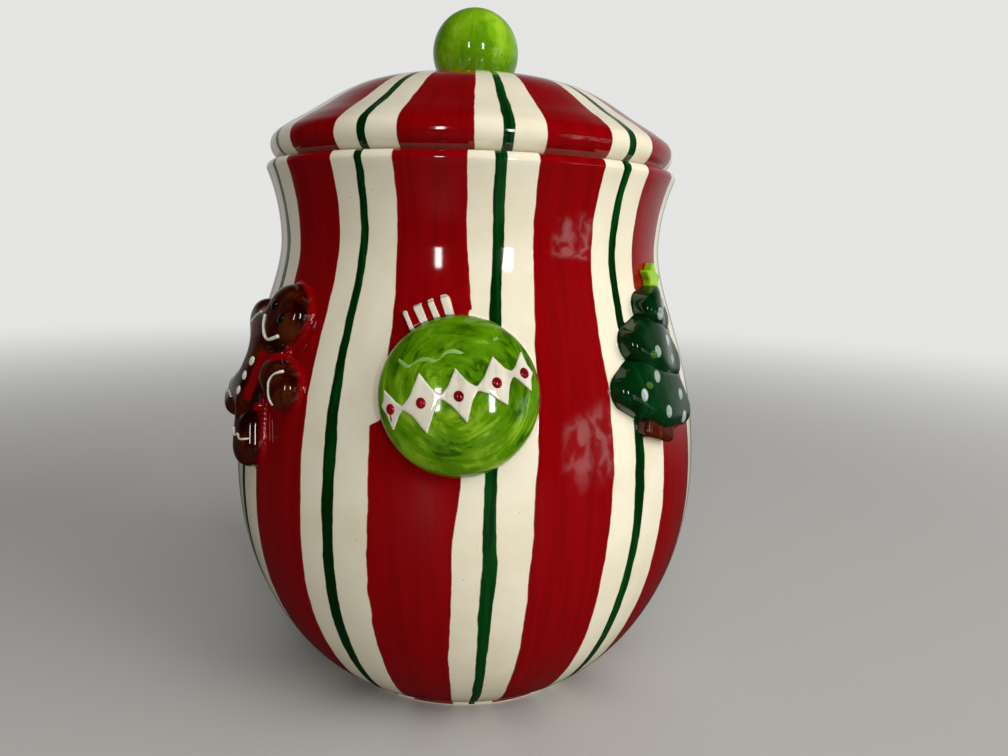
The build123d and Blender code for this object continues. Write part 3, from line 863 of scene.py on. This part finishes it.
STROKES = [[(-10.0, 33.3), (-8.5, 33.4), (-7.7, 25.6), (-9.3, 25.4)],
           [(-6.1, 33.7), (-2.9, 34.0), (-2.2, 25.6), (-4.8, 25.4)],
           [(-0.7, 34.2), (1.5, 34.4), (2.5, 25.2), (0.1, 25.2)],
           [(4.1, 34.4), (7.1, 34.2), (6.9, 25.8), (4.2, 25.8)]]
pieces["bauble_cap_ribs"] = inlay("front_cap_strokes", pieces["bauble_cap"], BAUBLE, STROKES, 0.7, 0.22, 4)
DIAMONDS = [[(-25.6, 5.9), (-22.9, 11.0), (-17.4, 3.6), (-24.0, -3.0)],
            [(-18.9, 3.7), (-9.3, 13.2), (-3.5, 3.7), (-12.9, -6.9)],
            [(-5.3, 3.6), (2.9, 10.9), (8.6, 2.1), (1.2, -7.6)],
            [(6.8, 2.2), (15.8, 10.4), (21.2, 2.7), (15.7, -6.9)],
            [(19.2, 2.8), (25.2, 8.2), (26.9, -0.2), (24.5, -5.8)]]
waisted_diamonds = [diamond for corners in DIAMONDS for diamond in waisted(corners)]
diamonds = inlay("front_diamonds_glazed", ball, BAUBLE, waisted_diamonds, 1.05, 0.3, 14)
pieces["bauble_diamonds"] = diamonds
DOTS = [(-22.7, 4.4), (-11.6, 3.7), (1.3, 2.0), (14.7, 1.8), (24.4, 1.2)]
DRIP = [(-22.9, 3.4), (-23.4, 1.6), (-23.6, 0.4)]
dots = beads("dots", BAUBLE, [(diamonds, spot, 1.12) for spot in DOTS], 1.8, 0.8)
drip = piped("drip", diamonds, BAUBLE, [DRIP], 0.6, (1.6, 0.8), -0.1)
pieces["bauble_dots"] = joined("front_dots_glazed", [dots, drip])
WAVE = [(-15.3, 19.3), (-14.0, 17.5), (-12.5, 16.1), (-10.4, 16.5), (-8.1, 16.9), (-5.5, 16.5),
        (-3.6, 15.3), (-1.3, 15.3), (1.3, 16.5), (4.0, 16.2), (6.6, 14.7), (9.4, 15.0)]
DAB = [(17.6, 14.9), (18.5, 15.1), (19.5, 15.1)]
mint_wave = piped("front_bauble_wave", ball, BAUBLE, [WAVE, DAB], 2.4, (0.9, 0.8), -0.43)
CAP_POOL = [(6.5, 34.8), (15.0, 35.4), (13.6, 26.4), (6.5, 25.4)]
cap_pool = inlay("front_cap_pool", glazed_body, BAUBLE, [CAP_POOL], 1.2, 0.3, 8)

lower, middle, upper = (pieces["tree_" + tier + "_tier"] for tier in ("lower", "middle", "upper"))
SNOW = [(lower, (-13.1, -14.4)), (lower, (-4.7, -5.9)), (lower, (1.7, -17.9)), (lower, (13.4, -9.6)),
        (lower, (16.4, -18.0)), (middle, (-6.6, 3.5)), (middle, (4.8, 9.8)), (middle, (9.0, 3.7)),
        (upper, (-4.4, 18.5)), (upper, (2.6, 24.2))]
pieces["tree_snow"] = beads("front_snow_glazed", TREE, [(tier, spot, 1.3) for tier, spot in SNOW], 2.0, 0.8)
SMUDGES = [(middle, (-9.0, 1.7)), (lower, (-9.9, -10.3))]
lime_smudges = beads("front_tree_smudges", TREE, [(tier, spot, 0.7) for tier, spot in SMUDGES], 2.3, 0.93)

SMILE = [(-7.6, 20.3), (-5.4, 17.4), (-2.4, 15.8), (1.2, 15.0), (4.0, 15.8), (7.2, 19.2)]
CUFFS = [[(-12.6, 18.6), (-15.5, 15.0), (-18.0, 10.5)],
         [(19.2, 11.0), (17.0, 8.4), (16.8, 5.2), (19.2, 2.4), (23.0, -1.2)]]
HEMS = [[(-21.5, -19.0), (-17.5, -17.6), (-15.0, -20.5), (-12.5, -18.0), (-8.5, -18.5)],
        [(5.2, -23.1), (8.0, -25.0), (10.6, -22.6), (13.0, -23.2), (16.6, -20.8)]]
pieces["gingerbread_icing"] = joined("front_icing_piped", [
    piped("smile", figure, GINGERBREAD, [SMILE], 1.15, (0.9, 1.5)),
    piped("cuffs", figure, GINGERBREAD, [*CUFFS, *HEMS], 0.8, (1.7, 1.0))])
EYES = [(-4.6, 26.0), (4.2, 25.0)]
pieces["gingerbread_eyes"] = beads("front_eyes_glazed", GINGERBREAD,
                                   [(figure, spot, 1.3) for spot in EYES], 1.8, 0.42)
BUTTONS = [(-1.2, 3.2), (-1.9, -3.8), (-2.2, -10.8)]
pieces["gingerbread_buttons"] = beads("front_buttons_glazed", GINGERBREAD,
                                      [(figure, spot, 1.45) for spot in BUTTONS], 1.4, 0.62)

# ---- finishes ----
brush = brush_marks()
strokes = round_strokes()
skin = glaze_skin()
stripes = striped_paint(brush)


def stripe_colour(tree, place):
    painted = use_group(tree, stripes, place)
    return painted["Color"], painted["Thick"]


# Dark, middle and pale colour, size of the clouds, brush, limits, and how much of it is brushed
lime_ball = mottled((0.020, 0.072, 0.0004), (0.072, 0.185, 0.0015), (0.185, 0.33, 0.014), 46.0, strokes,
                    0.38, 0.62, 0.55)
lime_knob = mottled((0.080, 0.210, 0.002), (0.140, 0.310, 0.004), (0.25, 0.43, 0.020), 48.0, brush,
                    0.40, 0.62, 0.18)
lime_star = mottled((0.13, 0.30, 0.003), (0.19, 0.40, 0.007), (0.26, 0.48, 0.016), 90.0, brush)
pine = mottled((0.0004, 0.009, 0.0012), (0.0007, 0.018, 0.003), (0.0015, 0.036, 0.008), 60.0, brush)
brown = mottled((0.008, 0.0003, 0.0002), (0.026, 0.0016, 0.0004), (0.062, 0.012, 0.002), 75.0, brush,
                0.40, 0.68, 0.2)
russet = mottled((0.022, 0.0014, 0.0004), (0.044, 0.004, 0.0008), (0.095, 0.018, 0.003), 90.0, brush)
scarlet = mottled(RED_DEEP, RED, RED, 60.0, brush)
crimson = mottled((0.11, 0.0004, 0.002), (0.16, 0.001, 0.004), (0.22, 0.004, 0.008), 200.0, brush)
white = mottled((0.46, 0.43, 0.33), (0.58, 0.54, 0.43), (0.66, 0.62, 0.51), 80.0, brush)
frosted = mottled((0.12, 0.18, 0.14), (0.25, 0.31, 0.27), (0.42, 0.47, 0.43), 260.0, brush)
mint = mottled((0.14, 0.27, 0.045), (0.19, 0.34, 0.075), (0.25, 0.40, 0.12), 120.0, brush)
smudged = mottled((0.006, 0.040, 0.004), (0.030, 0.095, 0.010), (0.08, 0.18, 0.025), 260.0, brush)
black = mottled((0.002, 0.001, 0.001), (0.004, 0.002, 0.002), (0.008, 0.004, 0.004), 80.0, brush)
ivory = mottled(IVORY_WARM, IVORY, IVORY, 30.0, brush)
silicone = mottled((0.60, 0.60, 0.57), (0.66, 0.66, 0.63), (0.70, 0.70, 0.67), 60.0, brush)

COLOURS = {
    "striped_glaze": stripe_colour, "lime_glaze": lime_knob, "red_glaze": crimson, "pool_glaze": scarlet,
    "snow_glaze": frosted, "smudge_glaze": smudged, "white_glaze": white, "mint_glaze": mint,
    "black_glaze": black, "ivory_glaze": ivory,
    "ball_on_wall": over_wall(lime_ball, stripes), "star_on_wall": over_wall(lime_star, stripes),
    "pine_on_wall": over_wall(pine, stripes), "trunk_on_wall": over_wall(russet, stripes),
    "red_on_wall": over_wall(scarlet, stripes),
    "brown_on_wall": over_wall(brown, stripes, 0.7, 0.5, (1.1, 2.6))}
SILICONE_ROUGHNESS = 0.45
finishes = {finish: glossy(finish, skin, colour_of) for finish, colour_of in COLOURS.items()}
finishes["seal_rubber"] = glossy("seal_rubber", skin, silicone, SILICONE_ROUGHNESS)

# Slot of each part, and its finish where that isn't the slot's plain one
SLOTS = {
    "bauble_ball": "lime_glaze", "bauble_diamonds": "white_glaze", "bauble_dots": "red_glaze",
    "bauble_cap": "red_glaze", "bauble_cap_ribs": "white_glaze", "tree_star": "lime_glaze",
    "tree_upper_tier": "pine_glaze", "tree_middle_tier": "pine_glaze", "tree_lower_tier": "pine_glaze",
    "tree_trunk": "brown_glaze", "tree_snow": "white_glaze", "gingerbread_figure": "brown_glaze",
    "gingerbread_icing": "white_glaze", "gingerbread_eyes": "black_glaze",
    "gingerbread_buttons": "white_glaze"}
OWN_FINISH = {
    "bauble_ball": "ball_on_wall", "bauble_cap": "red_on_wall", "tree_star": "star_on_wall",
    "tree_upper_tier": "pine_on_wall", "tree_middle_tier": "pine_on_wall",
    "tree_lower_tier": "pine_on_wall", "tree_trunk": "trunk_on_wall", "tree_snow": "snow_glaze",
    "gingerbread_figure": "brown_on_wall"}


def wear(piece, finish):
    """Give a piece one finish all over."""
    piece.data.materials.clear()
    piece.data.materials.append(finishes[finish])


def line_inside(piece, is_inside):
    """Give the faces that a test picks the plain ivory glaze."""
    piece.data.materials.append(finishes["ivory_glaze"])
    for face in piece.data.polygons:
        if is_inside(face.center / MM):
            face.material_index = 1


FOOT_TOP = 1.0            # the foot has no stripes below this height
HALF_WALL = 3.5           # faces further in than this from the outer wall are inside
UNDERSIDE = np.array([(14.9, 266.0), (50.0, 259.0), (71.1, 246.0), (83.0, 236.0), (85.1, 231.35)])


def inside_body(spot):
    return spot.z < FOOT_TOP or math.hypot(spot.x, spot.y) < wall_radius(spot.z) - HALF_WALL


def under_lid(spot):
    return spot.z < np.interp(math.hypot(spot.x, spot.y), UNDERSIDE[:, 0], UNDERSIDE[:, 1])


# ---- bodies, nodes and slots ----
wear(glazed_body, "striped_glaze")
line_inside(glazed_body, inside_body)
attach(glazed_body, "jar")
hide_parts("jar_body")

wear(glazed_lid, "striped_glaze")
line_inside(glazed_lid, under_lid)
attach(glazed_lid, "lid")
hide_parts("lid_shell")

wear(brushed_knob, "lime_glaze")
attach(brushed_knob, "lid")
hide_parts("knob")

# Each part of the front has a twin on the back.
for part, piece in pieces.items():
    slot = SLOTS[part]
    wear(piece, OWN_FINISH.get(part, slot))
    twin = opposite(piece, piece.name.replace("front", "back"))
    for side, each in (("front_", piece), ("back_", twin)):
        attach(each, "jar")
        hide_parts(side + part)

# Thin glaze that stands for no node of its own
for extra, finish, slot in ((mint_wave, "mint_glaze", "white_glaze"), (cap_pool, "pool_glaze", "red_glaze"),
                            (lime_smudges, "smudge_glaze", "lime_glaze")):
    wear(extra, finish)
    for each in (extra, opposite(extra, extra.name.replace("front", "back"))):
        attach(each, "jar")

wear(frame["nodes"]["lid_seal"], "seal_rubber")

# ---- room: pale floor that fades into the background, soft light ----
PALE = (0.78, 0.78, 0.77, 1)              # what the camera sees behind the jar
TABLE = (0.43, 0.42, 0.395, 1)
TABLE_MIRRORED = (0.02, 0.02, 0.02, 1)    # the table as the glaze mirrors it
TABLE_ROUGHNESS = 0.6
FLOOR_SIZE = 14
FLOOR_FADES = (0.35, 1.6)                 # between these distances from the jar's axis, in metres

deselect()
bpy.ops.mesh.primitive_plane_add(size=FLOOR_SIZE, location=(0, 0, 0))
floor = bpy.context.object
floor.name = "floor"
floor_finish = bpy.data.materials.new("pale_floor")
floor_finish.use_nodes = True
floor_tree = floor_finish.node_tree
floor_shader = floor_tree.nodes["Principled BSDF"]
floor_shader.inputs["Roughness"].default_value = TABLE_ROUGHNESS
floor_rays = new_node(floor_tree, "LightPath").outputs
table = layered(floor_tree, floor_rays["Is Glossy Ray"], TABLE, TABLE_MIRRORED)
feed(floor_tree, floor_shader.inputs["Base Color"], table)
away = new_node(floor_tree, "VectorMath", operation="LENGTH")
feed(floor_tree, away.inputs[0], new_node(floor_tree, "TexCoord").outputs["Object"])
fading = new_node(floor_tree, "MixShader")
feed(floor_tree, fading.inputs[0], stepped(floor_tree, away.outputs["Value"], *FLOOR_FADES))
feed(floor_tree, fading.inputs[1], floor_shader.outputs[0])
feed(floor_tree, fading.inputs[2], new_node(floor_tree, "BsdfTransparent").outputs[0])
feed(floor_tree, floor_tree.nodes["Material Output"].inputs["Surface"], fading.outputs[0])
floor.data.materials.append(floor_finish)

AIM = Vector((0, 0, 0.15))                # the lights look at this place in the jar


def panel(name, azimuth, height, distance, size, power, mirrored=False):
    """Soft light panel that looks at the jar from an azimuth, height and distance. The glaze
    mirrors it only if told to."""
    turn = math.radians(azimuth)
    spot = Vector((distance * math.sin(turn), -distance * math.cos(turn), height))
    light = bpy.data.lights.new(name, "AREA")
    light.shape = "RECTANGLE"
    light.size, light.size_y = size
    light.energy = power
    lamp = bpy.data.objects.new(name, light)
    bpy.context.scene.collection.objects.link(lamp)
    lamp.location = spot
    lamp.rotation_euler = (AIM - spot).to_track_quat("-Z", "Y").to_euler()
    lamp.visible_glossy = mirrored


panel("right", 62, 0.9, 2.2, (1.4, 1.8), 48)
panel("high front", 18, 2.0, 1.4, (2.0, 1.8), 27)
panel("left", -75, 0.9, 1.8, (1.2, 1.2), 1)
panel("behind", 165, 1.2, 1.8, (1.6, 1.0), 6)
panel("near window", -18, 0.62, 2.0, (0.13, 0.50), 5.0, True)
panel("far window", 20, 0.60, 2.0, (0.16, 0.50), 7.0, True)

# The room as it lights the jar, and as the glaze mirrors it: dim in front, paler behind, and
# with a dappled glow from a window on the right
ROOM_LIGHT = 0.17
REAR_FROM, REAR_TO, REAR_DIM, REAR_PALE = 0.35, 1.0, 0.012, 0.50
REAR_SIDEWAYS = 0.35      # the pale part reaches further round on the right
OVERHEAD, SIDELONG, OVERHEAD_SHARE = 0.75, 0.30, 0.1    # and keeps this share of itself overhead
GLOW_AZIMUTH = [math.radians(limit) for limit in (44, 51, 74, 84)]
GLOW_UPWARD = (-0.22, -0.15, 0.12, 0.19)
GLOW_STRENGTH = 1.9
DAPPLE = (0.46, 0.56, 0.04, 1.0)    # the glow goes from 0.04 to full between these two of its noise

world = bpy.data.worlds.new("room")
bpy.context.scene.world = world
world.use_nodes = True
sky_tree = world.node_tree
sky = sky_tree.nodes["Background"]
way = new_node(sky_tree, "TexCoord").outputs["Generated"]
to_right, to_rear, upward = split_up(sky_tree, way)
past = total(sky_tree, to_rear, product(sky_tree, maths(sky_tree, "MAXIMUM", to_right, 0.0), REAR_SIDEWAYS))
rear = product(sky_tree, stepped(sky_tree, past, REAR_FROM, REAR_TO, REAR_DIM, REAR_PALE),
               stepped(sky_tree, upward, OVERHEAD, SIDELONG, OVERHEAD_SHARE, 1.0))
glow = product(sky_tree, between(sky_tree, azimuth_of(sky_tree, to_right, to_rear), *GLOW_AZIMUTH),
               between(sky_tree, upward, *GLOW_UPWARD),
               stepped(sky_tree, cloudy(sky_tree, way, 9.0, 4.0, 0.6, 0.8), *DAPPLE), GLOW_STRENGTH)
rays = new_node(sky_tree, "LightPath").outputs
brightness = new_node(sky_tree, "Mix", data_type="FLOAT")
feed(sky_tree, brightness.inputs[0], rays["Is Glossy Ray"])
feed(sky_tree, brightness.inputs[2], ROOM_LIGHT)
feed(sky_tree, brightness.inputs[3], total(sky_tree, rear, glow))
room = new_node(sky_tree, "CombineColor")
for channel in room.inputs[:3]:
    feed(sky_tree, channel, brightness.outputs[0])
seen = layered(sky_tree, rays["Is Camera Ray"], room.outputs[0], PALE)
feed(sky_tree, sky.inputs["Color"], seen)
sky.inputs["Strength"].default_value = 1.0

# ---- camera: its place in metres, its turn to the right, its tilt down and its roll ----
CAMERA_PLACE = (0, -0.3601, 0.2005)
YAW, PITCH, ROLL = math.radians(2.67), math.radians(10.32), math.radians(1.61)
SENSOR_WIDTH, FOCAL_LENGTH = 36, 27.04

ahead = Vector((math.sin(YAW) * math.cos(PITCH), math.cos(YAW) * math.cos(PITCH), -math.sin(PITCH)))
level_right = Vector((math.cos(YAW), -math.sin(YAW), 0))
level_up = level_right.cross(ahead)
right = math.cos(ROLL) * level_right + math.sin(ROLL) * level_up
up = -math.sin(ROLL) * level_right + math.cos(ROLL) * level_up
lens = bpy.data.cameras.new("camera")
lens.sensor_width = SENSOR_WIDTH
lens.lens = FOCAL_LENGTH
camera = bpy.data.objects.new("camera", lens)
bpy.context.scene.collection.objects.link(camera)
axes = Matrix((right, up, -ahead)).transposed().to_4x4()
camera.matrix_world = Matrix.Translation(CAMERA_PLACE) @ axes
bpy.context.scene.camera = camera
bpy.context.scene.view_settings.view_transform = "Standard"
